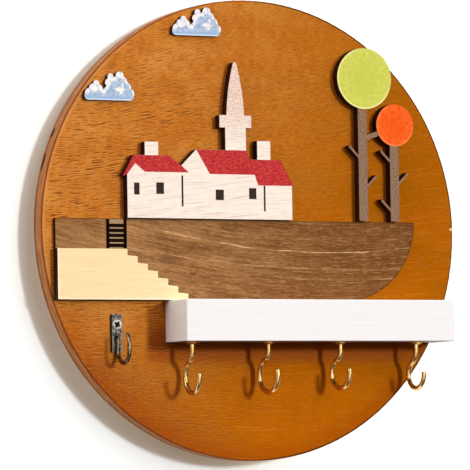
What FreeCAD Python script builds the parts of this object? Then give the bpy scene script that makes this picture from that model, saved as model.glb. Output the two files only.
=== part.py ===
import FreeCAD, Part
import math
import os

# Wall key holder: a round stained board with a cut-out harbour picture in thin plywood,
# a white hook bar with four cup hooks under it and one small plate hook.
# Millimetres. X to the right, Z up, the wall is the plane Y = 0 and every front faces -Y.
# The origin is the centre of the board's back face, which lies on the wall.

# Round board
board_radius = 150.0
board_thickness = 12.0
board_edge_round = 0.8

# Plywood: the thin sort for quay, stairs and clouds, the thick one for village and trees
ply = 3.0
thick_ply = 6.0
seat_gap = 0.5
engraving_depth = 0.4

# Quay: a long plate whose right end is a quarter round bow. Places across are shares of the board radius.
quay_left_share = -0.9433
quay_right_share = 0.7913
quay_top = 6.0
quay_height = 52.0

# Ladder, burnt into the face of the quay
ladder_left_share = -0.7067
ladder_depth = 1.2
stile_width = 2.4
ladder_width = 14.6
rung_count = 5
rung_thickness = 1.2
rung_pitch = 3.2
first_rung_drop = 3.9
ladder_foot_gap = 0.4

# Stairs, a second layer on the quay
stairs_drop = 19.5
step_count = 7
step_length = 7.15
first_step_share = -0.6167
tread_fall = 0.65

# Village: one plate with three houses, two chimneys and a tower. Places across run from its left wall.
village_left_share = -0.6127
village_length = 118.7
left_eave_z = 34.4
left_ridge_z = 46.9
left_ridge_start = 4.7
left_ridge_end = 29.9
left_eave_overhang = 3.1
left_eave_droop = 1.2
gable_foot = 38.6
gable_foot_z = 40.6
gable_peak = 49.5
middle_ridge_z = 51.2
middle_ridge_end = 85.6
right_ridge_start = 88.1
right_ridge_z = 45.4
right_ridge_end = 110.8
right_eave_z = 28.7
right_eave_overhang = 0.9
left_chimney = 12.7
chimney_width = 9.6
left_chimney_top_z = 55.6
right_chimney = 93.7
right_chimney_top_z = 57.6
tower_width = 14.9
gallery_z = 65.9
gallery_height = 8.1
gallery_overhang = 4.05
spire_base_width = 12.8
spire_height = 34.6
spire_shoulder_width = 8.8
spire_shoulder_share = 0.56
spire_tip_radius = 1.3
windows = [(4.7, 21.4, 3.9, 7.7), (20.5, 22.0, 5.5, 7.5), (63.1, 18.7, 5.9, 6.8), (87.3, 19.7, 5.3, 7.1)]
corner_lines = [(38.8, 14.3, 19.8), (98.2, 11.9, 16.6)]
corner_line_width = 0.8

# Trees
trunk_width = 6.5
tall_trunk_share = 0.532
tall_crown_shift = 2.0
tall_crown_z = 100.5
tall_crown_radius = 20.1
short_trunk_share = 0.6887
short_crown_shift = 0.9
short_crown_z = 70.1
short_crown_radius = 13.9
crown_gap = 0.3
limb_width = 3.3
limb_angle = 19.0
limb_root_z = 61.6
twig_width = 1.5
twig_length = 9.6
twig_angle = 45.0
twig_root_share = 0.25
tall_left_twig_z = 49.0
tall_right_twig_z = 29.6
short_upper_twig_z = 46.2
short_right_twig_z = 31.6
short_lower_twig_z = 13.8

# Clouds, two copies of one outline made of round puffs on a flat base.
# Each puff is an arc: its middle point, then its end, both from the cloud's lower left.
cloud_start = (2.8, 0.0)
cloud_puffs = [((0.8, 1.0), (0.4, 3.8)), ((1.3, 6.3), (3.3, 7.5)), ((4.3, 9.5), (6.3, 10.5)),
               ((8.4, 12.5), (10.6, 10.2)), ((12.3, 8.9), (13.6, 6.9)), ((14.9, 8.2), (16.0, 9.1)),
               ((14.8, 11.1), (16.8, 13.8)), ((18.3, 17.2), (20.8, 15.1)), ((21.6, 15.0), (22.3, 15.8)),
               ((25.3, 18.7), (27.9, 15.3)), ((29.7, 14.2), (30.4, 12.2)), ((32.3, 10.6), (33.1, 7.5)),
               ((35.1, 5.9), (35.1, 3.2)), ((34.1, 0.9), (31.3, 0.0))]
cloud_place_shares = {"cloud_left": (-0.7999, 0.5459), "cloud_top": (-0.3806, 0.8359)}

# Hook bar
bar_left_share = -0.424
bar_length = 196.0
bar_height = 27.0
bar_depth = 32.0
bar_edge_round = 0.8
bar_quay_gap = 0.4

# Cup hooks, each bent a little differently: place along the bar, turn about Z, drop to the middle of the
# wire, bend radius, angle of the open tip
cup_hook_shares = [0.0571, 0.3372, 0.6061, 0.8929]
cup_hook_turn_angles = [-1.0, 6.5, 10.0, 4.0]
cup_hook_drops = [32.9, 32.4, 30.0, 30.3]
cup_hook_bends = [10.6, 10.9, 9.5, 9.2]
cup_hook_tip_angles = [10.0, 19.0, 18.0, 8.0]
hook_wire_radius = 1.55
hook_neck = 6.5
hook_screw_length = 12.0
hook_point_length = 3.0
hook_tip_round = 0.6
flange_radius = 4.5
flange_height = 1.6
flange_nose_radius = 2.5
flange_lip = 0.4
hook_hole_gap = 0.05

# Screws through the board into the bar, one between each pair of hooks
bar_screw_radius = 2.0
bar_screw_head_radius = 4.0
bar_screw_head_height = 2.4
bar_screw_length = 35.0
screw_gap = 0.1

# Plate hook
plate_hook_share = -0.658
plate_hook_drop = 9.0
plate_hook_width = 7.6
plate_hook_height = 24.5
plate_hook_plate = 1.5
plate_hook_corner = 0.8
plate_wire_radius = 1.3
plate_wire_shift = 0.5
plate_wire_sunk = 0.7
plate_wire_top_drop = 13.6
plate_wire_arm = 9.6
plate_wire_bend = 8.4
plate_wire_rise = 3.5
plate_wire_curl = 46.0
plate_screw_drop = 6.8
plate_screw_radius = 1.75
plate_screw_length = 10.0
plate_screw_head_radius = 3.1
plate_screw_head_height = 2.5
plate_screw_head_rim = 1.0
cross_recess_width = 1.2
cross_recess_length = 4.0
cross_recess_depth = 1.1
cross_recess_angle = 30.0

# Keyhole hangers, let in flush with the back of the board
hanger_spacing_share = 0.8
hanger_height_share = 0.4133
hanger_width = 16.0
hanger_height = 44.0
hanger_plate = 1.5
hanger_corner = 3.0
hanger_fit_gap = 0.2
keyhole_entry_radius = 4.25
keyhole_slot_radius = 2.25
keyhole_slot_rise = 10.0
pocket_depth = 8.0
pocket_margin = 1.6
hanger_screw_inset = 5.0
hanger_screw_radius = 1.5
hanger_screw_head_radius = 2.9
hanger_screw_head_height = 1.3
hanger_screw_length = 9.0

# Planes and places that follow from the sizes above
board_front = -board_thickness
quay_left = quay_left_share * board_radius
quay_right = quay_right_share * board_radius
ladder_left = ladder_left_share * board_radius
first_step_x = first_step_share * board_radius
wall_left = village_left_share * board_radius
wall_right = wall_left + village_length
tall_trunk_x = tall_trunk_share * board_radius
tall_crown_x = tall_trunk_x + tall_crown_shift
short_trunk_x = short_trunk_share * board_radius
short_crown_x = short_trunk_x + short_crown_shift
bar_left = bar_left_share * board_radius
plate_hook_x = plate_hook_share * board_radius
hanger_spacing = hanger_spacing_share * board_radius
hanger_z = hanger_height_share * board_radius
quay_front = board_front - ply
quay_bottom = quay_top - quay_height
stairs_top = quay_top - stairs_drop
raised_bottom = quay_top + seat_gap
bar_top = quay_bottom - bar_quay_gap
bar_bottom = bar_top - bar_height
bar_front = board_front - bar_depth
hook_y = board_front - bar_depth / 2
hook_places = [bar_left + share * bar_length for share in cup_hook_shares]
plate_hook_top = quay_bottom - plate_hook_drop
tower_left = wall_left + middle_ridge_end - tower_width
tower_axis = tower_left + tower_width / 2


def point(x, y, z):
    return FreeCAD.Vector(x, y, z)


def outline(points, y):
    corners = [point(x, y, z) for x, z in points]
    return Part.makePolygon(corners + corners[:1])


def plate(face_wire, thickness):
    return Part.Face(face_wire).extrude(point(0, -thickness, 0))


def block(x, y_back, z, width, thickness, height):
    return Part.makeBox(width, thickness, height, point(x, y_back - thickness, z))


def rod(x, z, radius, y_back, length):
    return Part.makeCylinder(radius, length, point(x, y_back, z), point(0, -1, 0))


def fused(first, others):
    return first.fuse(others).removeSplitter()


def rounded_block(x, y_back, z, width, thickness, height, corner):
    solid = block(x, y_back, z, width, thickness, height)
    corners = [e for e in solid.Edges if e.BoundBox.YLength > thickness / 2]
    return solid.makeFillet(corner, corners)


def slot_cuts(x, low, high, radius, y_back, depth):
    return [rod(x, low, radius, y_back, depth), rod(x, high, radius, y_back, depth),
            block(x - radius, y_back, low, 2 * radius, depth, high - low)]


def keyhole_heights():
    return [hanger_z - keyhole_slot_rise / 2, hanger_z + keyhole_slot_rise / 2]


# Round board with the holes and recesses of what is fixed to it

def hanger_places():
    return [("left", -hanger_spacing / 2), ("right", hanger_spacing / 2)]


def bar_screw_places():
    return [(a + b) / 2 for a, b in zip(hook_places, hook_places[1:])]


def hanger_screw_heights():
    reach = hanger_height / 2 - hanger_screw_inset
    return [hanger_z - reach, hanger_z + reach]


def countersunk_screw(x, z, y_back, radius, head_radius, head_height, length):
    head = Part.makeCone(head_radius, radius, head_height, point(x, y_back, z), point(0, -1, 0))
    shank = rod(x, z, radius, y_back - head_height, length - head_height - radius)
    tip = Part.makeCone(radius, 0, radius, point(x, y_back - length + radius, z), point(0, -1, 0))
    return fused(head, [shank, tip])


def board():
    disc = rod(0, 0, board_radius, 0, board_thickness)
    rim = [e for e in disc.Edges if e.Closed]
    disc = disc.makeFillet(board_edge_round, rim)
    cuts = []
    for _, x in hanger_places():
        cuts.append(rounded_block(x - hanger_width / 2 - hanger_fit_gap, 0,
                                  hanger_z - hanger_height / 2 - hanger_fit_gap,
                                  hanger_width + 2 * hanger_fit_gap, hanger_plate,
                                  hanger_height + 2 * hanger_fit_gap, hanger_corner + hanger_fit_gap))
        cuts += slot_cuts(x, *keyhole_heights(), keyhole_entry_radius + pocket_margin, 0, pocket_depth)
        for z in hanger_screw_heights():
            cuts.append(rod(x, z, hanger_screw_radius + screw_gap, 0, hanger_screw_length + screw_gap))
    z = (bar_top + bar_bottom) / 2
    for x in bar_screw_places():
        cuts.append(Part.makeCone(bar_screw_head_radius + screw_gap, bar_screw_radius + screw_gap,
                                  bar_screw_head_height, point(x, 0, z), point(0, -1, 0)))
        cuts.append(rod(x, z, bar_screw_radius + screw_gap, 0, board_thickness))
    pilot = plate_screw_length - plate_hook_plate + screw_gap
    cuts.append(rod(plate_hook_x, plate_hook_top - plate_screw_drop, plate_screw_radius + screw_gap,
                    board_front + pilot, pilot))
    return disc.cut(cuts)


# Quay plate with its bow, and the ladder burnt into it

def quay():
    centre_x = quay_right - quay_height
    slant = quay_height * math.sqrt(0.5)
    top_right = point(quay_right, board_front, quay_top)
    bow = Part.Arc(top_right, point(centre_x + slant, board_front, quay_top - slant),
                   point(centre_x, board_front, quay_bottom)).toShape()
    top_left = point(quay_left, board_front, quay_top)
    bottom_left = point(quay_left, board_front, quay_bottom)
    straight = Part.makePolygon([point(centre_x, board_front, quay_bottom), bottom_left, top_left, top_right])
    body = plate(Part.Wire([bow] + straight.Edges), ply)
    foot = stairs_top + ladder_foot_gap
    right_stile = ladder_left + ladder_width - stile_width
    face = quay_front + ladder_depth
    grooves = [block(x, face, foot, stile_width, ladder_depth, quay_top - foot) for x in (ladder_left, right_stile)]
    for i in range(rung_count):
        z = quay_top - first_rung_drop - i * rung_pitch - rung_thickness / 2
        grooves.append(block(ladder_left, face, z, ladder_width, ladder_depth, rung_thickness))
    return body.cut(grooves)


# Stairs plate, glued on the quay

def stairs():
    riser = (quay_height - stairs_drop - (step_count - 1) * tread_fall) / step_count
    points = [(quay_left, quay_bottom), (quay_left, stairs_top), (first_step_x, stairs_top)]
    x, z = first_step_x, stairs_top
    for _ in range(step_count - 1):
        z -= riser
        points.append((x, z))
        x += step_length
        z -= tread_fall
        points.append((x, z))
    points.append((x, quay_bottom))
    return plate(outline(points, quay_front), ply)


# Village plate: houses, chimneys and tower in one cut-out, with engraved windows

def spire():
    base = gallery_z + gallery_height
    tip = base + spire_height

    def at(half_width, z):
        return point(tower_axis + half_width, board_front, z)

    def side(sign):
        curve = Part.BSplineCurve()
        curve.interpolate([at(sign * spire_base_width / 2, base),
                           at(sign * spire_shoulder_width / 2, base + spire_height * spire_shoulder_share),
                           at(sign * spire_tip_radius, tip - spire_tip_radius)])
        return curve.toShape()

    crest = Part.Arc(at(-spire_tip_radius, tip - spire_tip_radius), at(0, tip),
                     at(spire_tip_radius, tip - spire_tip_radius)).toShape()
    foot = Part.LineSegment(at(spire_base_width / 2, base), at(-spire_base_width / 2, base)).toShape()
    return plate(Part.Wire([side(-1), crest, side(1), foot]), thick_ply)


def village():
    right_shoulder = wall_right + right_eave_overhang
    houses = plate(outline([
        (wall_left, raised_bottom), (wall_left, left_eave_z),
        (wall_left - left_eave_overhang, left_eave_z - left_eave_droop),
        (wall_left + left_ridge_start, left_ridge_z), (wall_left + left_ridge_end, left_ridge_z),
        (wall_left + gable_foot, gable_foot_z), (wall_left + gable_peak, middle_ridge_z),
        (wall_left + middle_ridge_end, middle_ridge_z), (wall_left + right_ridge_start, right_ridge_z),
        (wall_left + right_ridge_end, right_ridge_z), (right_shoulder, right_eave_z),
        (wall_right, right_eave_z), (wall_right, raised_bottom)], board_front), thick_ply)
    tall = [block(wall_left + left_chimney, board_front, left_eave_z, chimney_width, thick_ply,
                  left_chimney_top_z - left_eave_z),
            block(wall_left + right_chimney, board_front, right_eave_z, chimney_width, thick_ply,
                  right_chimney_top_z - right_eave_z),
            block(tower_left, board_front, left_eave_z, tower_width, thick_ply, gallery_z - left_eave_z),
            block(tower_left - gallery_overhang, board_front, gallery_z, tower_width + 2 * gallery_overhang,
                  thick_ply, gallery_height),
            spire()]
    body = fused(houses, tall)
    face = board_front - thick_ply + engraving_depth
    marks = [block(wall_left + x, face, z, width, engraving_depth, height) for x, z, width, height in windows]
    marks += [block(wall_left + x, face, z, corner_line_width, engraving_depth, height)
              for x, z, height in corner_lines]
    return body.cut(marks)


# Trees: a trunk with its twigs and a round crown, each sawn in one piece

def crown(x, z, radius):
    return rod(x, z, radius, board_front, thick_ply)


def twig(trunk_x, z, side, width, length, angle):
    slope = math.radians(angle)
    root = trunk_width * twig_root_share
    root_x = trunk_x + side * root
    reach = length + root / math.cos(slope)
    along = (side * math.cos(slope), math.sin(slope))
    across = (-along[1] * width / 2, along[0] * width / 2)
    start = (root_x, z - root * math.tan(slope))
    end = (start[0] + along[0] * reach, start[1] + along[1] * reach)
    return plate(outline([(start[0] + across[0], start[1] + across[1]), (end[0] + across[0], end[1] + across[1]),
                          (end[0] - across[0], end[1] - across[1]),
                          (start[0] - across[0], start[1] - across[1])], board_front), thick_ply)


def tall_tree():
    trunk = block(tall_trunk_x - trunk_width / 2, board_front, raised_bottom, trunk_width, thick_ply,
                  tall_crown_z - raised_bottom)
    limb_reach = short_crown_x - tall_trunk_x - trunk_width / 2
    limb = twig(tall_trunk_x, limb_root_z, 1, limb_width, limb_reach, limb_angle)
    limb = limb.cut(crown(short_crown_x, short_crown_z, short_crown_radius + crown_gap))
    limb = max(limb.Solids, key=lambda s: -s.CenterOfMass.x)
    twigs = [twig(tall_trunk_x, tall_left_twig_z, -1, twig_width, twig_length, twig_angle),
             twig(tall_trunk_x, tall_right_twig_z, 1, twig_width, twig_length, twig_angle)]
    top = crown(tall_crown_x, tall_crown_z, tall_crown_radius)
    return fused(trunk, [limb, top] + twigs)


def short_tree():
    trunk = block(short_trunk_x - trunk_width / 2, board_front, raised_bottom, trunk_width, thick_ply,
                  short_crown_z - raised_bottom)
    twigs = [twig(short_trunk_x, short_upper_twig_z, -1, twig_width, twig_length, twig_angle),
             twig(short_trunk_x, short_right_twig_z, 1, twig_width, twig_length, twig_angle),
             twig(short_trunk_x, short_lower_twig_z, -1, twig_width, twig_length, twig_angle)]
    top = crown(short_crown_x, short_crown_z, short_crown_radius)
    return fused(trunk, [top] + twigs)


# Clouds

def cloud(x, z):
    def at(spot):
        return point(x + spot[0], board_front, z + spot[1])

    starts = [cloud_start] + [end for _, end in cloud_puffs[:-1]]
    puffs = [Part.Arc(at(start), at(middle), at(end)).toShape() for start, (middle, end) in zip(starts, cloud_puffs)]
    base = Part.LineSegment(at(cloud_puffs[-1][1]), at(cloud_start)).toShape()
    return plate(Part.Wire(puffs + [base]), ply)


# White bar with the holes for its hooks and screws

def hook_bar():
    bar = block(bar_left, board_front, bar_bottom, bar_length, bar_depth, bar_height)
    bar = bar.makeFillet(bar_edge_round, bar.Edges)
    cuts = []
    for x in hook_places:
        cuts.append(Part.makeCylinder(hook_wire_radius + hook_hole_gap, hook_screw_length + hook_hole_gap,
                                      point(x, hook_y, bar_bottom)))
    for x in bar_screw_places():
        cuts.append(rod(x, (bar_top + bar_bottom) / 2, bar_screw_radius + screw_gap, board_front,
                        bar_screw_length - board_thickness + screw_gap))
    return bar.cut(cuts)


# Cup hooks: wood screw, neck, reverse bend and open loop in one wire

def swept(path, radius, start, direction):
    section = Part.Wire([Part.Circle(start, direction, radius).toShape()])
    return Part.Wire(path).makePipeShell([section], True, False)


def cup_hook(x, turn, drop, bend, tip_angle):
    # in the hook's own plane: s forward, z down from the bar, turned about the shank afterwards
    loop = (0.0, bend - drop)
    back_bend = ((loop[1] + hook_neck) ** 2 - bend ** 2) / (2 * bend)
    back = (-back_bend, -hook_neck)
    reach = back_bend + bend
    meet = (back[0] + (loop[0] - back[0]) * back_bend / reach, back[1] + (loop[1] - back[1]) * back_bend / reach)

    def at(s, z):
        return point(x, hook_y - s, bar_bottom + z)

    def on(centre, radius, angle):
        a = math.radians(angle)
        return at(centre[0] + radius * math.cos(a), centre[1] + radius * math.sin(a))

    quarter_turn = 90
    lowest = 3 * quarter_turn
    tip_end = 4 * quarter_turn + tip_angle
    meet_angle = math.degrees(math.atan2(meet[1] - back[1], meet[0] - back[0]))
    loop_start = math.degrees(math.atan2(meet[1] - loop[1], meet[0] - loop[0]))
    path = [Part.LineSegment(at(0, 0), at(0, -hook_neck)).toShape(),
            Part.Arc(at(0, -hook_neck), on(back, back_bend, meet_angle / 2), at(*meet)).toShape(),
            Part.Arc(at(*meet), on(loop, bend, (loop_start + lowest) / 2), on(loop, bend, lowest)).toShape(),
            Part.Arc(on(loop, bend, lowest), on(loop, bend, (lowest + tip_end) / 2),
                     on(loop, bend, tip_end)).toShape()]
    wire = swept(path, hook_wire_radius, at(0, 0), point(0, 0, -1))
    end = on(loop, bend, tip_angle)
    tip = min(wire.Edges, key=lambda e: (e.CenterOfMass - end).Length)
    wire = wire.makeFillet(hook_tip_round, [tip])
    straight = hook_screw_length - hook_point_length
    screw = Part.makeCylinder(hook_wire_radius, straight, at(0, 0))
    spike = Part.makeCone(hook_wire_radius, 0, hook_point_length, at(0, straight))
    hook = fused(wire, [screw, spike])
    hook.rotate(at(0, 0), point(0, 0, 1), turn)
    return hook


def cup_hook_flange(x):
    inner = hook_wire_radius + hook_hole_gap
    profile = [(inner, 0), (flange_radius, 0), (flange_radius, -flange_lip), (flange_nose_radius, -flange_height),
               (inner, -flange_height)]
    corners = [point(x + r, hook_y, bar_bottom + z) for r, z in profile]
    face = Part.Face(Part.makePolygon(corners + corners[:1]))
    return face.revolve(point(x, hook_y, 0), point(0, 0, 1), 360)


# Small plate hook screwed on the board

def plate_hook_wire(radius):
    y = board_front - plate_hook_plate + plate_wire_sunk - plate_wire_radius
    top = plate_hook_top - plate_wire_top_drop
    elbow = top - plate_wire_arm
    knee = elbow + plate_wire_rise
    curl = math.radians(plate_wire_curl)

    def at(s, z):
        return point(plate_hook_x + plate_wire_shift, y - s, z)

    b = plate_wire_bend
    path = [Part.LineSegment(at(0, top), at(0, elbow)).toShape(),
            Part.Arc(at(0, elbow), at(b, elbow - b), at(2 * b, elbow)).toShape(),
            Part.LineSegment(at(2 * b, elbow), at(2 * b, knee)).toShape(),
            Part.Arc(at(2 * b, knee), at(b + b * math.cos(curl / 2), knee + b * math.sin(curl / 2)),
                     at(b + b * math.cos(curl), knee + b * math.sin(curl))).toShape()]
    wire = swept(path, radius, at(0, top), point(0, 0, -1))
    ends = [Part.makeSphere(radius, at(0, top)),
            Part.makeSphere(radius, at(b + b * math.cos(curl), knee + b * math.sin(curl)))]
    return fused(wire, ends)


def plate_hook_plate_solid():
    solid = rounded_block(plate_hook_x - plate_hook_width / 2, board_front, plate_hook_top - plate_hook_height,
                          plate_hook_width, plate_hook_plate, plate_hook_height, plate_hook_corner)
    hole = rod(plate_hook_x, plate_hook_top - plate_screw_drop, plate_screw_radius + screw_gap, board_front,
               plate_hook_plate)
    return solid.cut([hole, plate_hook_wire(plate_wire_radius)])


def plate_hook_screw():
    z = plate_hook_top - plate_screw_drop
    seat = board_front - plate_hook_plate
    r, h, rim = plate_screw_head_radius, plate_screw_head_height, plate_screw_head_rim
    dome_radius = (r ** 2 + (h - rim) ** 2) / (2 * (h - rim))
    half_way = math.asin(r / dome_radius) / 2
    dome = Part.Arc(point(plate_hook_x + r, seat - rim, z),
                    point(plate_hook_x + dome_radius * math.sin(half_way),
                          seat - h + dome_radius * (1 - math.cos(half_way)), z),
                    point(plate_hook_x, seat - h, z)).toShape()
    sides = Part.makePolygon([point(plate_hook_x, seat - h, z), point(plate_hook_x, seat, z),
                              point(plate_hook_x + r, seat, z), point(plate_hook_x + r, seat - rim, z)])
    head = Part.Face(Part.Wire([dome] + sides.Edges)).revolve(point(plate_hook_x, 0, z), point(0, 1, 0), 360)
    point_length = 2 * plate_screw_radius
    shank = rod(plate_hook_x, z, plate_screw_radius, seat + plate_screw_length - point_length,
                plate_screw_length - point_length)
    tip = Part.makeCone(plate_screw_radius, 0, point_length,
                        point(plate_hook_x, seat + plate_screw_length - point_length, z), point(0, 1, 0))
    deep = seat - h + cross_recess_depth
    w, l = cross_recess_width, cross_recess_length
    cross = [block(plate_hook_x - w / 2, deep, z - l / 2, w, cross_recess_depth, l),
             block(plate_hook_x - l / 2, deep, z - w / 2, l, cross_recess_depth, w)]
    cross = [arm.rotated(point(plate_hook_x, 0, z), point(0, 1, 0), cross_recess_angle) for arm in cross]
    return fused(head, [shank, tip]).cut(cross)


# Keyhole hangers and their screws

def keyhole_hanger(x):
    solid = rounded_block(x - hanger_width / 2, 0, hanger_z - hanger_height / 2, hanger_width, hanger_plate,
                          hanger_height, hanger_corner)
    cuts = [rod(x, keyhole_heights()[0], keyhole_entry_radius, 0, hanger_plate)]
    cuts += slot_cuts(x, *keyhole_heights(), keyhole_slot_radius, 0, hanger_plate)
    for z in hanger_screw_heights():
        cuts.append(rod(x, z, hanger_screw_radius + screw_gap, 0, hanger_plate))
        cuts.append(Part.makeCone(hanger_screw_head_radius + screw_gap, hanger_screw_radius + screw_gap,
                                  hanger_screw_head_height, point(x, 0, z), point(0, -1, 0)))
    return solid.cut(cuts)


pieces = {
    "disc_board": board(),
    "quay_plate": quay(),
    "stairs_plate": stairs(),
    "village_plate": village(),
    "tall_tree": tall_tree(),
    "short_tree": short_tree(),
    "hook_bar": hook_bar(),
    "plate_hook_plate": plate_hook_plate_solid(),
    "plate_hook_wire": plate_hook_wire(plate_wire_radius),
    "plate_hook_screw": plate_hook_screw(),
}
for name, (share_x, share_z) in cloud_place_shares.items():
    pieces[name] = cloud(share_x * board_radius, share_z * board_radius)
cup_hooks = zip(hook_places, cup_hook_turn_angles, cup_hook_drops, cup_hook_bends, cup_hook_tip_angles)
for number, hook in enumerate(cup_hooks, 1):
    pieces["cup_hook_%d" % number] = cup_hook(*hook)
    pieces["cup_hook_flange_%d" % number] = cup_hook_flange(hook[0])
for number, x in enumerate(bar_screw_places(), 1):
    pieces["bar_screw_%d" % number] = countersunk_screw(
        x, (bar_top + bar_bottom) / 2, 0, bar_screw_radius, bar_screw_head_radius, bar_screw_head_height,
        bar_screw_length)
for side, x in hanger_places():
    pieces["keyhole_hanger_" + side] = keyhole_hanger(x)
    for level, z in zip(("lower", "upper"), hanger_screw_heights()):
        pieces["hanger_screw_%s_%s" % (side, level)] = countersunk_screw(
            x, z, 0, hanger_screw_radius, hanger_screw_head_radius, hanger_screw_head_height,
            hanger_screw_length)

os.makedirs("parts", exist_ok=True)
for name, shape in pieces.items():
    if len(shape.Solids) == 1:
        shape = shape.Solids[0]
    print("%-28s solids %d  valid %s  volume %.1f" % (name, len(shape.Solids), shape.isValid(), shape.Volume))
    shape.exportStep("parts/%s.step" % name)
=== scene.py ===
import math

import bpy
from mathutils import Matrix, Vector

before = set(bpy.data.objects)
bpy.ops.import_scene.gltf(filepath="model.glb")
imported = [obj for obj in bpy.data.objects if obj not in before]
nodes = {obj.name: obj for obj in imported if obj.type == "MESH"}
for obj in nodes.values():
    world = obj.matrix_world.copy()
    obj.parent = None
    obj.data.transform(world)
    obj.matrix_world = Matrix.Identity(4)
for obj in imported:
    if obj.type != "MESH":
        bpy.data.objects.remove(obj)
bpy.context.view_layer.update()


# The round board is solid wood 12 mm thick, turned to a disc 300 mm across with an eased edge.
# It is stained orange-brown, shows short dark pores along the grain and has a clear satin lacquer.
# The side took less stain than the face, and the back was left pale.
def tint(red, green, blue):
    """A colour as the eye reads it on a screen, turned into the light values of a shader."""
    parts = [part / 255 for part in (red, green, blue)]
    return tuple(p / 12.92 if p < 0.04 else ((p + 0.055) / 1.055) ** 2.4 for p in parts) + (1.0,)


class Shading:
    """The sums, fades and blends in one set of shader nodes."""

    def __init__(self, tree):
        self.tree = tree
        self.tree.nodes.clear()

    def put(self, kind, inputs=None, **settings):
        """A new node. Its inputs are numbers, colours, places or what other nodes give."""
        made = self.tree.nodes.new(kind)
        for name, value in settings.items():
            setattr(made, name, value)
        self.join(made, inputs or {})
        return made

    def join(self, node, inputs):
        for name, value in inputs.items():
            if isinstance(value, bpy.types.NodeSocket):
                self.tree.links.new(value, node.inputs[name])
            else:
                node.inputs[name].default_value = value

    def vector(self, kind, first, second):
        return self.put("ShaderNodeVectorMath", {0: first, 1: second}, operation=kind).outputs[0]

    def place(self, x, y, z):
        return self.put("ShaderNodeCombineXYZ", {0: x, 1: y, 2: z}).outputs[0]

    def sum(self, kind, *values):
        return self.put("ShaderNodeMath", dict(enumerate(values)), operation=kind).outputs[0]

    def chain(self, kind, values):
        """The same kind of sum over two or more values."""
        result = values[0]
        for value in values[1:]:
            result = self.sum(kind, result, value)
        return result

    def times(self, *values):
        return self.chain("MULTIPLY", values)

    def least(self, *values):
        return self.chain("MINIMUM", values)

    def greatest(self, *values):
        return self.chain("MAXIMUM", values)

    def off(self, value, middle):
        """How far value is from middle, either way."""
        return self.sum("ABSOLUTE", self.sum("ADD", value, -middle))

    def oval(self, *axes):
        """0 in the middle of an oval, 1 on its rim. An axis is a value, its middle and half its length."""
        parts = [self.sum("POWER", self.sum("MULTIPLY_ADD", value, 1 / half, -middle / half), 2.0)
                 for value, middle, half in axes]
        return self.sum("ADD", *parts)

    def fade(self, value, low, high, start=0.0, end=1.0, way="SMOOTHSTEP"):
        """Goes from start to end while value goes from low to high."""
        ends = {"Value": value, "From Min": low, "From Max": high, "To Min": start, "To Max": end}
        return self.put("ShaderNodeMapRange", ends, interpolation_type=way).outputs[0]

    def blend(self, share, first, second):
        return self.put("ShaderNodeMix", {0: share, 6: first, 7: second}, data_type="RGBA").outputs[2]


class Finish(Shading):
    """One surface finish. Places in it are millimetres: x across, y into the wall, z up."""

    def __init__(self, name):
        self.material = bpy.data.materials.new(name)
        self.material.use_nodes = True
        super().__init__(self.material.node_tree)
        self.shader = self.put("ShaderNodeBsdfPrincipled")
        self.end = self.put("ShaderNodeOutputMaterial", {"Surface": self.shader.outputs["BSDF"]})
        own = self.put("ShaderNodeTexCoord").outputs["Object"]
        self.spot = self.vector("MULTIPLY", own, (1000.0, 1000.0, 1000.0))
        self.x, self.y, self.z = self.put("ShaderNodeSeparateXYZ", {0: self.spot}).outputs

    def around(self, middle_x, middle_z):
        """How many millimetres a place is from an axis that runs from front to back."""
        return self.sum("SQRT", self.oval((self.x, middle_x, 1.0), (self.z, middle_z, 1.0)))

    def lumps(self, lump, spot, shift):
        """The place counted in lumps of (x, y, z) millimetres, moved on by shift."""
        scaled = self.vector("MULTIPLY", spot or self.spot, tuple(1 / side for side in lump))
        return self.vector("ADD", scaled, (shift, shift, shift))

    def noise(self, lump, detail=2.0, roughness=0.5, spot=None, shift=0.0):
        """Noise from 0 to 1 whose lumps are about lump = (x, y, z) millimetres long."""
        moved = self.lumps(lump, spot, shift)
        inputs = {"Vector": moved, "Scale": 1.0, "Detail": detail, "Roughness": roughness}
        return self.put("ShaderNodeTexNoise", inputs).outputs[0]

    def dashes(self, lump, spot, shift, size, share):
        """1 inside short strokes, one in a share of the cells of lump = (x, y, z) millimetres, else 0."""
        moved = self.lumps(lump, spot, shift)
        cells = self.put("ShaderNodeTexVoronoi", {"Vector": moved, "Scale": 1.0, "Randomness": 1.0})
        draw = self.put("ShaderNodeSeparateXYZ", {0: cells.outputs[1]}).outputs[0]
        used = self.sum("LESS_THAN", draw, share)
        return self.times(used, self.fade(cells.outputs[0], size, size * 0.45))

    def coat(self, colour, roughness, height=None, depth=0.0, **constants):
        """Joins the finish up. height from 0 to 1 stands for depth millimetres of relief."""
        self.join(self.shader, {"Base Color": colour, "Roughness": roughness})
        self.join(self.shader, {name.replace("_", " "): value for name, value in constants.items()})
        if height is not None:
            relief = self.put("ShaderNodeBump", {"Height": height, "Distance": depth / 1000})
            self.join(self.shader, {"Normal": relief.outputs[0]})

    def wear(self, *names):
        for name in names:
            for slot in nodes[name].material_slots:
                slot.material = self.material


def grain(finish, slope, bow=0.0, middle=0.0, wave=4.0):
    """The place, with z moved so that grain rises by slope, sags by bow and wanders by wave."""
    bend = finish.sum("SUBTRACT", finish.noise((50.0, 50.0, 50.0 / 3), 1.0), 0.5)
    z = finish.sum("MULTIPLY_ADD", bend, wave, finish.z)
    z = finish.sum("MULTIPLY_ADD", finish.x, -slope, z)
    sag = finish.sum("POWER", finish.off(finish.x, middle), 2.0)
    return finish.place(finish.x, finish.y, finish.sum("MULTIPLY_ADD", sag, -bow, z))


stain = Finish("orange_brown_stain")
board_front = -12.0
board_radius = 150.0
turned = stain.times(stain.x, stain.z, -0.001)
along = stain.vector("ADD", grain(stain, 0.1), stain.place(0.0, 0.0, turned))

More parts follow.
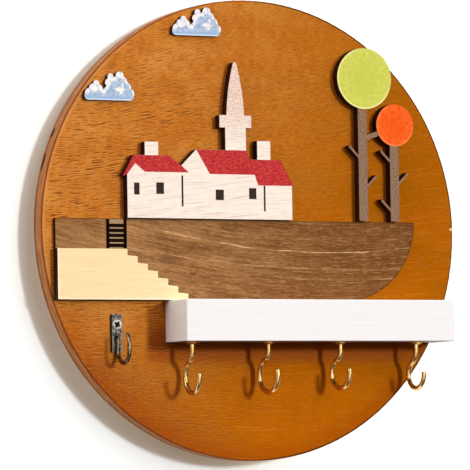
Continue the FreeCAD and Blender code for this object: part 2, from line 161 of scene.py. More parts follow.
# Broad fields of colour: paler at the upper left, partly as painted sheen, orange at the bottom, brown at
# the lower left.
to_left = stain.sum("MULTIPLY_ADD", stain.x, -0.9, stain.times(stain.z, 0.45))
face_colour = stain.blend(stain.fade(to_left, -85.0, 145.0), tint(161, 91, 0), tint(209, 140, 66))
low_middle = stain.oval((stain.x, 25.0, 71.43), (stain.z, -115.0, 50.0))
face_colour = stain.blend(stain.fade(low_middle, 1.4, 0.0, 0.0, 0.7), face_colour, tint(190, 102, 0))
low_left = stain.sum("SUBTRACT", stain.times(stain.x, -0.8), stain.z)
face_colour = stain.blend(stain.fade(low_left, 132.0, 195.0, 0.0, 0.95), face_colour, tint(142, 71, 27))
tone = stain.noise((45.0, 30.0, 22.0), 3.0, 0.55)
face_colour = stain.blend(stain.fade(tone, 0.38, 0.62, 0.0, 0.4), face_colour, tint(186, 100, 12))
long_line = stain.noise((30.0, 20.0, 1.3), 3.0, 0.6, along, 3.0)
face_colour = stain.blend(stain.fade(long_line, 0.5, 0.68, 0.0, 0.18), face_colour, tint(220, 142, 46))
patch = stain.noise((9.0, 9.0, 13.0), 3.0, 0.6, None, 15.0)
face_colour = stain.blend(stain.fade(patch, 0.4, 0.64, 0.0, 0.35), face_colour, tint(172, 86, 6))
fine = stain.noise((4.0, 4.0, 0.8), 3.0, 0.7, along, 21.0)
to_low_right = stain.sum("MULTIPLY_ADD", stain.z, -0.8, stain.x)
rough_part = stain.fade(to_low_right, 110.0, -60.0, 0.3, 1.0)
dark_fine = stain.times(stain.fade(fine, 0.5, 0.66, 0.0, 0.5), rough_part)
pale_fine = stain.times(stain.fade(fine, 0.5, 0.34, 0.0, 0.38), rough_part)
face_colour = stain.blend(dark_fine, face_colour, tint(140, 68, 2))
face_colour = stain.blend(pale_fine, face_colour, tint(228, 148, 44))
# Painted shadow: the board is darker and redder in a band just below the bar.
painted_bar_shadow = stain.times(stain.fade(stain.z, -90.0, -81.0, 0.0, 0.9), stain.fade(stain.x, -80.0, -73.0),
                        stain.fade(stain.z, -60.0, -70.0))
face_colour = stain.blend(painted_bar_shadow, face_colour, tint(158, 78, 26))

# The pores are short dark strokes, each with a painted highlight below it as a pale lip, crowded at the
# left and in the middle.
crowd = stain.noise((34.0, 30.0, 16.0), 2.0, 0.5, along, 11.0)
open_grain = stain.times(stain.fade(crowd, 0.34, 0.58, 0.5, 1.0),
                         stain.fade(stain.x, 60.0, -70.0, 0.2, 1.0),
                         stain.fade(stain.z, -110.0, -20.0, 0.45, 1.0),
                         stain.fade(stain.z, 135.0, 50.0, 0.45, 1.0))
lip_highlight_place = stain.vector("ADD", along, (0.0, 0.0, 0.55))
pores, lip_highlights = [stain.greatest(stain.dashes((13.0, 13.0, 0.95), where, 3.0, 0.42, 0.75),
                              stain.dashes((6.0, 6.0, 0.8), where, 8.0, 0.4, 0.55))
               for where in (along, lip_highlight_place)]
pores, lip_highlights = stain.times(pores, open_grain), stain.times(lip_highlights, open_grain)
face_colour = stain.blend(stain.times(lip_highlights, 0.5), face_colour, tint(234, 160, 84))
face_colour = stain.blend(stain.times(pores, 0.95), face_colour, tint(108, 50, 2))
from_axis = stain.around(0.0, 0.0)
# A pale band just inside the rim at the upper left: wear, and partly a painted highlight.
worn_rim_and_highlight = stain.times(stain.fade(from_axis, board_radius - 3.4, board_radius - 1.6),
                       stain.fade(stain.x, -60.0, -120.0), stain.fade(stain.z, -70.0, -10.0, 0.0, 0.5))
face_colour = stain.blend(worn_rim_and_highlight, face_colour, tint(222, 150, 88))
low_rim = stain.times(stain.fade(from_axis, board_radius - 16.0, board_radius - 2.0),
                      stain.fade(stain.z, -60.0, -110.0), 0.4)
face_colour = stain.blend(low_rim, face_colour, tint(154, 64, 4))

# The side has two dark nicks at the left, each given by its height and half its length.
side_tone = stain.noise((9.0, 2.2, 9.0), 3.0, 0.6, None, 5.0)
side_colour = stain.blend(stain.fade(side_tone, 0.3, 0.7), tint(196, 136, 86), tint(166, 102, 58))
# The side is painted darker towards the wall, as shade.
side_colour = stain.blend(stain.fade(stain.y, -4.5, -0.5), side_colour, tint(120, 62, 30))
for nick_z, nick_half in ((61.2, 3.4), (42.4, 6.0)):
    nick_reach = stain.oval((stain.z, nick_z, nick_half), (stain.y, -3.111, 2.222))
    dark_nick = stain.times(stain.fade(nick_reach, 1.1, 0.7), stain.fade(stain.x, -120.0, -125.0), 0.85)
    side_colour = stain.blend(dark_nick, side_colour, tint(62, 26, 10))
on_side = stain.greatest(stain.fade(from_axis, board_radius - 0.7, board_radius - 0.3),
                         stain.fade(stain.y, board_front + 0.8, board_front + 1.1))
board_colour = stain.blend(on_side, face_colour, side_colour)
back_tone = stain.noise((60.0, 60.0, 2.2), 3.0, 0.6, along, 30.0)
back_colour = stain.blend(stain.fade(back_tone, 0.35, 0.65), tint(190, 138, 90), tint(160, 110, 66))
board_colour = stain.blend(stain.fade(stain.y, -0.06, -0.02), board_colour, back_colour)

# The eased edge is dark, darkest round the right half, with one pale nick at the far right.
rim_line = stain.times(stain.fade(from_axis, board_radius - 1.0, board_radius - 0.6),
                       stain.fade(stain.y, board_front + 1.4, board_front + 0.8), 0.75)
board_colour = stain.blend(rim_line, board_colour, tint(112, 48, 16))
right_edge = stain.least(stain.fade(from_axis, board_radius - 1.5, board_radius - 0.9),
                         stain.fade(stain.x, -10.0, 40.0),
                         stain.fade(stain.y, board_front + 1.1, board_front + 0.7))
board_colour = stain.blend(stain.times(right_edge, 0.92), board_colour, tint(74, 32, 8))
pale_nick = stain.least(stain.fade(stain.off(stain.z, 2.1), 0.9, 0.4),
                        stain.fade(stain.x, board_radius - 2.8, board_radius - 2.2),
                        stain.fade(stain.y, board_front + 2.0, board_front + 1.4))
board_colour = stain.blend(pale_nick, board_colour, tint(244, 206, 164))
stain.coat(board_colour, stain.fade(tone, 0.3, 0.7, 0.5, 0.62), stain.times(pores, -1.0), 0.08,
           Specular_IOR_Level=0.06, Specular_Tint=(1.0, 0.5, 0.1, 1.0))
stain.wear("disc_board")


# The quay is the first layer on the board: 3 mm laser-cut plywood stained walnut, glued down flat.
# Its right end is a quarter round. The cut edges are burnt dark, and the ladder is burnt into the face.
ply = 3.0
quay_front = board_front - ply
quay_left, quay_top, quay_bottom = -141.5, 6.0, -46.0


def burnt_edges(finish, front, face_colour):
    """The face colour on a cut-out's front, and scorched plywood layers on its cut edges."""
    layers = finish.noise((30.0, 0.45, 30.0), 2.0, 0.5, None, 2.0)
    scorch = finish.blend(finish.fade(layers, 0.3, 0.7), tint(26, 8, 3), tint(62, 24, 9))
    return finish.blend(finish.fade(finish.y, front + 0.08, front + 0.02), scorch, face_colour)


walnut = Finish("walnut_print")
along = grain(walnut, 0.0, 0.0007, 60.0, 3.0)
cloudy = walnut.noise((40.0, 30.0, 6.0), 3.0, 0.6, along)
quay_colour = walnut.blend(walnut.fade(cloudy, 0.36, 0.64), tint(176, 130, 84), tint(144, 98, 58))
quay_colour = walnut.blend(walnut.fade(walnut.x, -100.0, 100.0, 0.0, 0.9), quay_colour, tint(112, 68, 30))
fibre = walnut.noise((26.0, 8.0, 0.9), 3.0, 0.65, along, 4.0)
quay_colour = walnut.blend(walnut.fade(fibre, 0.48, 0.66, 0.0, 0.55), quay_colour, tint(88, 56, 24))
quay_colour = walnut.blend(walnut.fade(fibre, 0.47, 0.33, 0.0, 0.4), quay_colour, tint(190, 146, 90))
speck = walnut.noise((3.6, 3.6, 0.7), 4.0, 0.75, along, 17.0)
quay_colour = walnut.blend(walnut.fade(speck, 0.5, 0.64, 0.0, 0.55), quay_colour, tint(96, 62, 32))
quay_colour = walnut.blend(walnut.fade(speck, 0.48, 0.34, 0.0, 0.35), quay_colour, tint(198, 154, 98))
dark_strokes = walnut.dashes((12.0, 12.0, 0.9), along, 2.0, 0.4, 0.5)
quay_colour = walnut.blend(walnut.times(dark_strokes, 0.35), quay_colour, tint(84, 50, 24))
light_strokes = walnut.dashes((10.0, 10.0, 0.8), along, 6.0, 0.4, 0.3)
quay_colour = walnut.blend(walnut.times(light_strokes, 0.3), quay_colour, tint(214, 168, 112))

# Four light lines sag along the grain, each given by its lowest place, bow, left end and strength.
light_lines = ((51.7, -14.3, 0.00093, -66.0, 0.65), (71.3, -25.6, 0.00049, -95.0, 0.34),
               (63.0, -32.6, 0.001, 0.0, 0.25), (60.0, -6.5, 0.0008, -80.0, 0.12))
wander = walnut.sum("MULTIPLY_ADD", walnut.noise((26.0, 20.0, 20.0), 2.0, 0.5, None, 9.0), 2.4, -1.2)
for lowest_x, lowest_z, bow, line_start, strength in light_lines:
    rise = walnut.times(walnut.sum("POWER", walnut.off(walnut.x, lowest_x), 2.0), -bow)
    from_lowest = walnut.sum("ADD", walnut.z, -lowest_z)
    across_line = walnut.sum("ADD", from_lowest, walnut.sum("ADD", rise, wander))
    broken = walnut.noise((11.0, 11.0, 11.0), 2.0, 0.6, None, lowest_z)
    streak = walnut.times(walnut.fade(walnut.sum("ABSOLUTE", across_line), 0.6, 0.1),
                          walnut.fade(broken, 0.4, 0.6, 0.2, 1.0),
                          walnut.fade(walnut.x, line_start, line_start + 4.0, 0.0, strength))
    quay_colour = walnut.blend(streak, quay_colour, tint(240, 202, 150))
knot_reach = walnut.oval((walnut.x, -62.31, 7.692), (walnut.z, -20.0, 3.846))
quay_colour = walnut.blend(walnut.fade(knot_reach, 1.2, 0.2, 0.0, 0.5), quay_colour, tint(118, 82, 56))

# The ladder: black stiles and rungs, with paler wood between them.
ladder_middle, ladder_foot, rung_z, rung_pitch = -98.7, -12.8, -1.8, 3.2
from_ladder = walnut.off(walnut.x, ladder_middle)
above_foot = walnut.fade(walnut.z, ladder_foot - 0.1, ladder_foot + 0.1)
past_gap = walnut.sum("ADD", walnut.z, -rung_z - rung_pitch / 2)
from_gap = walnut.sum("PINGPONG", past_gap, rung_pitch / 2)
rungs = walnut.least(walnut.fade(from_gap, 0.55, 0.66), walnut.fade(from_ladder, 7.4, 7.2), above_foot,
                     walnut.fade(walnut.z, quay_top - 3.0, quay_top - 3.2))
between = walnut.least(walnut.fade(from_ladder, 5.0, 4.8), above_foot)
quay_colour = walnut.blend(walnut.times(between, 0.7), quay_colour, tint(172, 150, 118))
quay_colour = walnut.blend(rungs, quay_colour, tint(30, 12, 6))
end_middle, end_radius = 66.7, quay_top - quay_bottom
from_end = walnut.around(end_middle, quay_top)
# A dark line along the face's edges: laser scorch, and along the top also painted shade under the village.
by_end = walnut.times(walnut.fade(from_end, end_radius - 0.9, end_radius - 0.5),
                      walnut.fade(walnut.x, end_middle, end_middle + 1.0))
scorch_and_shade_outline = walnut.greatest(by_end, walnut.fade(walnut.z, quay_top - 0.8, quay_top - 0.4),
                          walnut.fade(walnut.z, quay_bottom + 0.8, quay_bottom + 0.4))
quay_colour = walnut.blend(walnut.times(scorch_and_shade_outline, 0.6), quay_colour, tint(66, 36, 16))
quay_colour = burnt_edges(walnut, quay_front, quay_colour)
groove = walnut.times(walnut.fade(walnut.y, quay_front + 0.06, quay_front + 0.3),
                      walnut.fade(from_ladder, 8.4, 7.6))
quay_colour = walnut.blend(groove, quay_colour, tint(20, 6, 3))
walnut.coat(quay_colour, walnut.fade(fibre, 0.3, 0.7, 0.6, 0.72), fibre, 0.03, Specular_IOR_Level=0.06)
walnut.wear("quay_plate")


# The stairs are a second layer of 3 mm plywood with seven steps, glued on the left end of the quay.
# The face is printed pale yellow, a little brighter along its left and bottom edges.
stairs_front = quay_front - ply
butter = Finish("pale_yellow_print")
along = grain(butter, 0.05)
fibre = butter.noise((26.0, 10.0, 1.3), 2.0, 0.5, along)
stairs_colour = butter.blend(butter.fade(fibre, 0.4, 0.7), tint(252, 228, 180), tint(249, 220, 170))
rosy = butter.noise((30.0, 10.0, 2.6), 1.0, 0.5, along, 6.0)
stairs_colour = butter.blend(butter.fade(rosy, 0.55, 0.72, 0.0, 0.2), stairs_colour, tint(250, 208, 176))
bright_line = butter.greatest(butter.fade(butter.z, quay_bottom + 1.1, quay_bottom + 0.6),
                              butter.fade(butter.x, quay_left + 1.3, quay_left + 0.7))
stairs_colour = butter.blend(butter.times(bright_line, 0.8), stairs_colour, tint(255, 248, 222))
stairs_colour = burnt_edges(butter, stairs_front, stairs_colour)
butter.coat(stairs_colour, butter.fade(fibre, 0.3, 0.7, 0.6, 0.7), fibre, 0.015, Specular_IOR_Level=0.12)
butter.wear("stairs_plate")


# The village is one cut-out of 6 mm plywood, glued on the board above the quay: cream walls and tower,
# red roofs. Its windows and wall corners are engraved 0.4 mm deep and burnt brown by the laser.
village_front = board_front - 2 * ply


def beyond(finish, start, end):
    """How many millimetres a place is to the left of the line from start to end."""
    across, up = end[0] - start[0], end[1] - start[1]
    length = math.hypot(across, up)
    offset = (start[0] * up - start[1] * across) / length
    part = finish.sum("MULTIPLY_ADD", finish.x, -up / length, offset)
    return finish.sum("MULTIPLY_ADD", finish.z, across / length, part)


limewash = Finish("cream_walls_red_roofs")
along = grain(limewash, 0.1)
fibre = limewash.noise((24.0, 8.0, 0.6), 3.0, 0.65, along)
grey_lines = limewash.fade(fibre, 0.54, 0.66, 0.0, 0.75)
cream = limewash.blend(grey_lines, tint(248, 239, 228), tint(206, 190, 180))
rosy = limewash.noise((9.0, 9.0, 4.0), 2.0, 0.5, along, 5.0)
cream = limewash.blend(limewash.fade(rosy, 0.5, 0.7, 0.0, 0.35), cream, tint(240, 214, 212))
mottled = limewash.noise((2.0, 2.0, 1.1), 3.0, 0.65, along, 12.0)
up_tower = limewash.fade(limewash.z, 52.0, 84.0, 0.05, 1.0)
mottled = limewash.times(limewash.fade(mottled, 0.3, 0.66), up_tower)
cream = limewash.blend(mottled, cream, tint(222, 184, 168))

# The roofs, from left to right. Each runs from its eave up to its ridge, between two sloping lines.
eave_corner, gable_peak, gable_corner = (-91.9, 34.4), (-86.1, 41.5), (-79.3, 36.2)
eave = beyond(limewash, eave_corner, gable_peak)
gable = limewash.least(beyond(limewash, gable_peak, gable_corner),
                       limewash.sum("SUBTRACT", limewash.z, gable_corner[1]))
left_end = beyond(limewash, (-47.9, 36.2), (-53.2, 40.7))
left_ridge = limewash.sum("SUBTRACT", 46.9, limewash.z)
left_roof = limewash.least(limewash.greatest(eave, gable), left_end, left_ridge)
middle_eave_z, middle_ridge_z = 35.5, 51.2
middle_start = limewash.times(beyond(limewash, (-32.8, middle_eave_z), (-42.4, middle_ridge_z)), -1.0)
middle_eave = limewash.sum("SUBTRACT", limewash.z, middle_eave_z)
middle_ridge = limewash.sum("SUBTRACT", middle_ridge_z, limewash.z)
right_eave_z, right_ridge_z = 28.7, 45.4
seam = beyond(limewash, (2.1, right_eave_z), (-3.9, 45.6))
middle_roof = limewash.least(middle_start, middle_eave, middle_ridge, limewash.sum("ADD", seam, 0.4))
right_eave = limewash.sum("SUBTRACT", limewash.z, right_eave_z)
right_ridge = limewash.sum("SUBTRACT", right_ridge_z, limewash.z)
right_roof = limewash.least(limewash.times(seam, -1.0), right_eave, right_ridge)
roofs = limewash.fade(limewash.greatest(left_roof, middle_roof, right_roof), -0.12, 0.12)
speckle = limewash.noise((2.6, 1.4, 0.75), 4.0, 0.75, along, 8.0)
red = limewash.blend(limewash.fade(speckle, 0.36, 0.64), tint(214, 70, 68), tint(156, 28, 36))
seam_line = limewash.fade(limewash.sum("ABSOLUTE", seam), 0.5, 0.15, 0.0, 0.35)
red = limewash.blend(seam_line, red, tint(140, 26, 30))
village_colour = limewash.blend(roofs, cream, red)

# Each corner line is given by its place across, its foot and its top.
for line_x, line_foot, line_top in ((-52.7, 14.3, 34.1), (6.7, 11.9, 28.5)):
    corner_line = limewash.least(limewash.fade(limewash.off(limewash.x, line_x), 0.75, 0.55),
                                 limewash.fade(limewash.z, line_foot - 0.2, line_foot),
                                 limewash.fade(limewash.z, line_top + 0.2, line_top))
    village_colour = limewash.blend(corner_line, village_colour, tint(60, 46, 42))
engraved = limewash.times(limewash.fade(limewash.y, village_front + 0.1, village_front + 0.3),
                          limewash.fade(limewash.y, village_front + 0.5, village_front + 0.42))
engraving = limewash.blend(limewash.noise((1.5, 1.5, 1.5)), tint(34, 24, 20), tint(66, 54, 46))
village_colour = burnt_edges(limewash, village_front, village_colour)
village_colour = limewash.blend(engraved, village_colour, engraving)
limewash.coat(village_colour, limewash.fade(fibre, 0.3, 0.7, 0.6, 0.7), fibre, 0.02,
              Specular_IOR_Level=0.12)
limewash.wear("village_plate")


# Each tree is one cut-out of 6 mm plywood: trunk, twigs and round crown. The trunks are stained
# grey-brown and the crowns are plain fields of yellow-green and of orange.
def tree_finish(name, crown_x, crown_z, crown_radius, leaf, deep_leaf, rim):
    finish = Finish(name)
    from_x = finish.sum("ADD", finish.x, -crown_x)
    from_z = finish.sum("ADD", finish.z, -crown_z)
    to_upper_right = finish.sum("ADD", from_x, from_z)
    distance = finish.around(crown_x, crown_z)
    bark_grain = finish.noise((1.5, 1.5, 0.8), 3.0, 0.7)
    bark = finish.blend(finish.fade(bark_grain, 0.36, 0.64), tint(158, 130, 108), tint(117, 89, 69))
    speckle = finish.noise((2.6, 2.6, 2.1), 4.0, 0.75, None, 5.0)
    leaves = finish.blend(finish.fade(speckle, 0.28, 0.72), leaf, deep_leaf)
    depth = finish.fade(distance, crown_radius * 0.2, crown_radius, 0.5, 0.0)
    leaves = finish.blend(depth, leaves, deep_leaf)
    pale_rim = finish.times(finish.fade(distance, crown_radius - 1.5, crown_radius - 0.7),
                            finish.fade(to_upper_right, crown_radius, crown_radius * 0.3, 0.0, 0.75))
    leaves = finish.blend(pale_rim, leaves, rim)
    colour = finish.blend(finish.fade(distance, crown_radius + 0.1, crown_radius - 0.1), bark, leaves)
    colour = burnt_edges(finish, village_front, colour)
    finish.coat(colour, finish.fade(speckle, 0.3, 0.7, 0.6, 0.7), bark_grain, 0.02,
                Specular_IOR_Level=0.12)
    return finish


green_tree = tree_finish("yellow_green_tree", crown_x=81.8, crown_z=100.5, crown_radius=20.1,
                         leaf=tint(217, 223, 106), deep_leaf=tint(196, 202, 84), rim=tint(240, 240, 172))
green_tree.wear("tall_tree")
orange_tree = tree_finish("orange_tree", crown_x=104.2, crown_z=70.1, crown_radius=13.9,
                          leaf=tint(252, 121, 46), deep_leaf=tint(236, 76, 10), rim=tint(255, 132, 70))
orange_tree.wear("short_tree")


# The two clouds are the same laser-cut shape in 3 mm plywood, glued on the board one above the other.
# They are painted light blue, with white billows along their tops.
cloud_front = board_front - ply
# A billow's middle, across and up from the cloud's lower left corner, and its half width and half height.
billows = [(2.2, 5.6, 1.6, 2.0), (5.4, 8.8, 2.2, 1.7), (8.8, 11.3, 2.2, 1.8), (7.2, 7.2, 2.8, 2.0),
           (11.6, 8.2, 1.5, 2.4), (13.6, 5.6, 2.0, 1.5), (16.0, 7.8, 1.0, 1.4), (16.6, 11.3, 2.2, 2.4),
           (19.1, 14.6, 1.9, 2.8), (22.0, 13.8, 1.6, 1.3), (24.4, 16.2, 1.8, 1.8), (27.6, 16.2, 1.5, 2.4),
           (30.2, 12.8, 1.3, 1.9), (33.0, 9.6, 1.0, 2.0), (35.0, 5.2, 1.0, 2.4), (25.2, 7.1, 3.2, 1.3),
           (26.0, 5.0, 1.2, 1.2), (27.1, 9.9, 0.6, 1.5)]


def cloud_finish(name, left, low):
    finish = Finish(name)
    ragged = finish.sum("MULTIPLY_ADD", finish.noise((1.8, 1.8, 1.8), 3.0, 0.6), 2.4, -1.2)
    shapes = []
    for middle_x, middle_z, half_width, half_height in billows:
        reach = finish.oval((finish.x, left + middle_x, half_width),
                            (finish.z, low + middle_z, half_height))
        shapes.append(finish.fade(finish.sum("ADD", reach, ragged), 1.8, 0.4))
    soft = finish.noise((1.6, 1.6, 1.2), 3.0, 0.65, None, 4.0)
    blue = finish.blend(finish.fade(soft, 0.36, 0.64), tint(150, 178, 214), tint(190, 210, 232))
    blue = finish.blend(finish.fade(finish.z, low + 3.2, low + 1.4, 0.0, 0.7), blue, tint(146, 188, 228))
    lilac = finish.noise((2.8, 2.8, 2.2), 2.0, 0.5, None, 7.0)
    white = finish.blend(finish.fade(lilac, 0.42, 0.66), tint(255, 252, 246), tint(232, 230, 244))
    colour = finish.blend(finish.greatest(*shapes), blue, white)
    hem = finish.fade(finish.z, low + 1.1, low + 0.6, 0.0, 0.8)
    colour = burnt_edges(finish, cloud_front, finish.blend(hem, colour, tint(222, 232, 246)))
    finish.coat(colour, finish.fade(soft, 0.3, 0.7, 0.6, 0.7), soft, 0.02, Specular_IOR_Level=0.12)
    return finish


cloud_finish("cloud_paint_left", left=-120.0, low=81.9).wear("cloud_left")
cloud_finish("cloud_paint_top", left=-57.1, low=125.4).wear("cloud_top")


# The hook bar is a solid block, 196 by 32 by 27 mm with eased edges, brushed with white satin paint.
# Its underside is painted brown as shade. Three wood screws hold it from behind, with countersunk heads
# let in flush.
bar_bottom = -73.4
white_paint = Finish("white_satin_paint")
brushed = white_paint.noise((46.0, 46.0, 1.1), 3.0, 0.6)
orange_peel = white_paint.noise((1.3, 1.3, 1.3), 2.0, 0.5, None, 3.0)
strokes = white_paint.fade(brushed, 0.3, 0.75)
bar_colour = white_paint.blend(strokes, tint(243, 246, 249), tint(239, 240, 242))
# Painted shade: the underside and the lowest edge of the front are brown.
painted_underside_shade = white_paint.fade(white_paint.z, bar_bottom + 0.25, bar_bottom + 0.1)
bar_colour = white_paint.blend(painted_underside_shade, bar_colour, tint(104, 78, 62))
paint_relief = white_paint.sum("MULTIPLY_ADD", brushed, 0.7, white_paint.times(orange_peel, 0.3))
white_paint.coat(bar_colour, white_paint.fade(orange_peel, 0.3, 0.7, 0.36, 0.46), paint_relief, 0.03,
                 Specular_IOR_Level=0.2)
white_paint.wear("hook_bar")

zinc = Finish("zinc_plate")
spangle = zinc.noise((2.0, 2.0, 2.0), 3.0, 0.6)
zinc_colour = zinc.blend(zinc.fade(spangle, 0.35, 0.65), tint(196, 198, 202), tint(160, 163, 168))
zinc.coat(zinc_colour, zinc.fade(spangle, 0.3, 0.7, 0.3, 0.45), spangle, 0.01, Metallic=1.0)
zinc.wear("bar_screw_1", "bar_screw_2", "bar_screw_3")


# The cup hooks are 3.1 mm brass-plated wire, each bent to an open loop and screwed up into the bar
# through a small pressed cup that covers the hole. They are turned a little differently by hand.
brass = Finish("bright_brass")
drawn = brass.noise((2.0, 2.0, 7.0), 2.0, 0.5)
tarnish = brass.noise((5.0, 5.0, 5.0), 2.0, 0.5, None, 3.0)
brass_colour = brass.blend(brass.fade(tarnish, 0.4, 0.7), tint(236, 202, 140), tint(206, 168, 100))
brass.coat(brass_colour, brass.fade(drawn, 0.3, 0.7, 0.12, 0.18), drawn, 0.002, Metallic=0.97,
           Specular_Tint=(0.3, 0.24, 0.12, 1.0))
brass.wear(*[name for name in nodes if name.startswith("cup_hook")])


# The small hook is a stamped steel plate with a bent wire welded on, in a dark antique finish that is
# rubbed lighter in places and browned on the wire, held by one nickel-plated cross-head screw.
plate_middle = -98.7
plate_front = board_front - 1.5
antique = Finish("antique_steel")
mottle = antique.noise((1.6, 1.6, 2.2), 4.0, 0.7)
plate_colour = antique.blend(antique.fade(mottle, 0.42, 0.56), tint(44, 40, 36), tint(136, 132, 123))
rubbed = antique.noise((2.2, 2.2, 1.6), 2.0, 0.6, None, 6.0)
rubbed = antique.fade(rubbed, 0.58, 0.68, 0.0, 0.8)
plate_colour = antique.blend(rubbed, plate_colour, tint(196, 192, 182))
long_edges = antique.fade(antique.off(antique.x, plate_middle), 2.7, 3.4, 0.0, 0.5)
plate_colour = antique.blend(long_edges, plate_colour, tint(150, 152, 152))
# Painted shadow of the wire on the plate, in a strip beside it.
painted_wire_shadow = antique.times(antique.fade(antique.off(antique.x, plate_middle - 1.1), 1.3, 0.7),
                            antique.fade(antique.z, -67.5, -69.5), 0.85)
plate_colour = antique.blend(painted_wire_shadow, plate_colour, tint(24, 18, 16))
# Painted shade: the plate's sides and a narrow strip along its left front edge are near black.
painted_side_shade = antique.fade(antique.y, plate_front + 0.1, plate_front + 0.3)
painted_left_edge_shadow = antique.fade(antique.x, plate_middle - 3.2, plate_middle - 3.4)
for painted_shade in (painted_side_shade, painted_left_edge_shadow):
    plate_colour = antique.blend(painted_shade, plate_colour, tint(24, 14, 8))
antique.coat(plate_colour, antique.fade(mottle, 0.3, 0.7, 0.5, 0.65), mottle, 0.06, Metallic=0.3,
             Specular_IOR_Level=0.3)
antique.wear("plate_hook_plate")

browned = Finish("browned_wire")
smoky = browned.noise((1.6, 1.6, 3.0), 3.0, 0.6)
wire_colour = browned.blend(browned.fade(smoky, 0.4, 0.62), tint(158, 140, 116), tint(36, 27, 20))
browned.coat(wire_colour, browned.fade(smoky, 0.3, 0.7, 0.18, 0.28), smoky, 0.008, Metallic=0.95,
             Specular_Tint=(0.25, 0.2, 0.15, 1.0))
browned.wear("plate_hook_wire")

nickel = Finish("bright_nickel")
polish = nickel.noise((1.2, 1.2, 1.2), 2.0, 0.5)
screw_colour = nickel.blend(polish, tint(255, 253, 248), tint(236, 232, 224))
screw_middle_x, screw_middle_z, cross_turn = -99.2, -61.8, math.radians(30.0)
screw_x = nickel.sum("ADD", nickel.x, -screw_middle_x)
screw_z = nickel.sum("ADD", nickel.z, -screw_middle_z)
over_one_arm = nickel.sum("SUBTRACT", nickel.times(screw_x, math.cos(cross_turn)),
                          nickel.times(screw_z, math.sin(cross_turn)))
over_other_arm = nickel.sum("ADD", nickel.times(screw_x, math.sin(cross_turn)),
                            nickel.times(screw_z, math.cos(cross_turn)))
one_arm, other_arm = nickel.sum("ABSOLUTE", over_one_arm), nickel.sum("ABSOLUTE", over_other_arm)
# Painted shade: the cross recess, and a little round it, are near black.
painted_recess_shade = nickel.times(nickel.fade(nickel.least(one_arm, other_arm), 1.05, 0.8),
                      nickel.fade(nickel.greatest(one_arm, other_arm), 2.3, 1.9))
screw_colour = nickel.blend(painted_recess_shade, screw_colour, tint(10, 8, 7))
nickel.coat(screw_colour, nickel.fade(painted_recess_shade, 0.0, 1.0, 0.25, 0.9), polish, 0.006, Metallic=0.2)
nickel.wear("plate_hook_screw")


# Two zinc-plated keyhole plates are let in flush with the back, each with two countersunk screws,
# over a pocket for the wall screw's head.
zinc.wear(*[name for name in nodes if "hanger" in name])


# The wall is plain white, close behind the board and leaning a little. It is seen only from the front, so
# that views from behind show the back of the board. It glows weakly, less beside the board's left rim.
wall_mesh = bpy.data.meshes.new("wall")
wall_reach, wall_gap, wall_lean = 2.0, 0.0075, 0.035
high_y, low_y = wall_gap - wall_lean * wall_reach, wall_gap + wall_lean * wall_reach
wall_corners = [(-wall_reach, low_y, -wall_reach), (wall_reach, low_y, -wall_reach),
                (wall_reach, high_y, wall_reach), (-wall_reach, high_y, wall_reach)]
wall_mesh.from_pydata(wall_corners, [], [(0, 1, 2, 3)])
wall = bpy.data.objects.new("wall", wall_mesh)
bpy.context.scene.collection.objects.link(wall)
plaster = Finish("white_wall")
fleck = plaster.noise((60.0, 60.0, 60.0), 2.0, 0.5)
wall_colour = plaster.blend(fleck, (0.87, 0.93, 0.97, 1.0), (0.89, 0.95, 0.99, 1.0))
brighter = plaster.fade(plaster.x, -20.0, 70.0, 0.2, 0.4)
in_shade = plaster.times(plaster.fade(plaster.around(-7.0, -9.0), 156.0, 165.0, 0.06, 0.0),
                         plaster.fade(plaster.x, 20.0, -40.0))
on_back = plaster.fade(plaster.around(0.0, 0.0), board_radius - 2.0, board_radius - 16.0, 0.0, 0.3)
glow = plaster.sum("ADD", plaster.sum("SUBTRACT", brighter, in_shade), on_back)
plaster.coat(wall_colour, 0.9, Specular_IOR_Level=0.0, Emission_Color=(1.0, 0.93, 0.72, 1.0),
             Emission_Strength=glow)
behind = plaster.put("ShaderNodeNewGeometry").outputs["Backfacing"]
clear = plaster.put("ShaderNodeBsdfTransparent").outputs[0]
either = plaster.put("ShaderNodeMixShader", {0: behind, 1: plaster.shader.outputs[0], 2: clear})
plaster.join(plaster.end, {"Surface": either.outputs[0]})
wall_mesh.materials.append(plaster.material)


# Light: weak daylight from all round, brighter from above, a small lamp from the front right, a broad
# one above it and a broad one from the left. Metal mirrors a room that is bright and white before and
# behind it, and dim and warm at its sides.
def lamp(name, direction, strength, spread, colour):
    data = bpy.data.lights.new(name, "SUN")
    data.energy = strength
    data.angle = math.radians(spread)
    data.color = colour
    made = bpy.data.objects.new(name, data)
    made.rotation_euler = Vector(direction).to_track_quat("-Z", "Y").to_euler()
    bpy.context.scene.collection.objects.link(made)
    return made


front_lamp = lamp("front_lamp", (-0.41, 1.0, -0.16), strength=1.67, spread=6.5, colour=(0.95, 1.0, 1.03))
front_lamp.visible_glossy = False
lamp("broad_lamp", (-0.48, 1.0, -0.40), strength=1.1, spread=48.0, colour=(1.0, 0.96, 0.92))
lamp("left_lamp", (1.0, 0.1, -0.6), strength=1.27, spread=50.0, colour=(0.98, 1.0, 1.06))

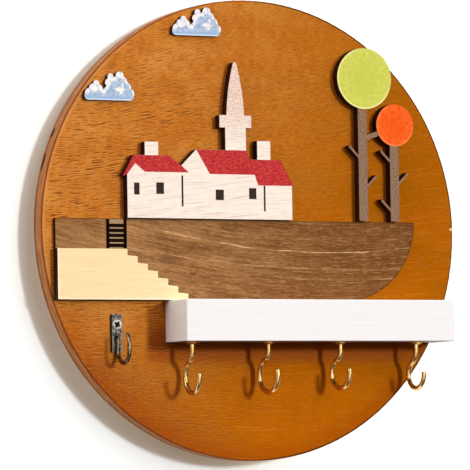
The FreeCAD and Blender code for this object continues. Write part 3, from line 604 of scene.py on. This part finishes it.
room = bpy.data.worlds.new("room")
room.use_nodes = True
bpy.context.scene.world = room
air = Shading(room.node_tree)
ray = air.put("ShaderNodeLightPath").outputs
seen, mirrored = ray["Is Camera Ray"], ray["Is Glossy Ray"]
direction = air.put("ShaderNodeTexCoord").outputs["Generated"]
height = air.put("ShaderNodeSeparateXYZ", {0: direction}).outputs[2]
daylight = air.fade(height, -0.4, 0.6, 0.06, 0.54, "LINEAR")
plain_strength = air.fade(seen, 0.0, 1.0, daylight, 1.0, "LINEAR")
facing = air.put("ShaderNodeVectorMath", {0: direction, 1: (0.3, 0.95, 0.0)}, operation="DOT_PRODUCT")
glint = air.fade(air.sum("ABSOLUTE", facing.outputs["Value"]), 0.6, 0.96, 0.16, 1.25, "LINEAR")
strength = air.fade(mirrored, 0.0, 1.0, plain_strength, glint, "LINEAR")
white_share = air.greatest(seen, air.times(mirrored, glint))
air_colour = air.blend(white_share, (1.0, 0.68, 0.48, 1.0), (1.0, 1.0, 1.0, 1.0))
air_light = air.put("ShaderNodeBackground", {"Color": air_colour, "Strength": strength})
air.put("ShaderNodeOutputWorld", {"Surface": air_light.outputs[0]})


# The camera stands to the left and a little below, about 2.9 m away, as the photograph was taken. Its
# focal length is 4426 times the width of one dot in a picture 470 dots wide.
focal_dots, picture_dots = 4426.0, 470.0
camera_data = bpy.data.cameras.new("camera")
camera_data.sensor_width = 36.0
camera_data.lens = focal_dots / picture_dots * camera_data.sensor_width
camera_data.clip_start = 0.1
camera_data.clip_end = 50.0
camera = bpy.data.objects.new("camera", camera_data)
turn, rise, lean = math.radians(26.77), math.radians(-3.25), math.radians(-0.91)
ahead = Vector((math.sin(turn) * math.cos(rise), math.cos(turn) * math.cos(rise), -math.sin(rise)))
level_right = Vector((math.cos(turn), -math.sin(turn), 0.0))
level_up = level_right.cross(ahead)
right = level_right * math.cos(lean) + level_up * math.sin(lean)
up = level_up * math.cos(lean) - level_right * math.sin(lean)
target, distance = Vector((-0.01229, -0.012, -0.0034)), 2.872
stand = target - ahead * distance
camera.matrix_world = Matrix((
    (right.x, up.x, -ahead.x, stand.x),
    (right.y, up.y, -ahead.y, stand.y),
    (right.z, up.z, -ahead.z, stand.z),
    (0.0, 0.0, 0.0, 1.0)))
bpy.context.scene.collection.objects.link(camera)
bpy.context.scene.camera = camera
bpy.context.scene.view_settings.view_transform = "Standard"
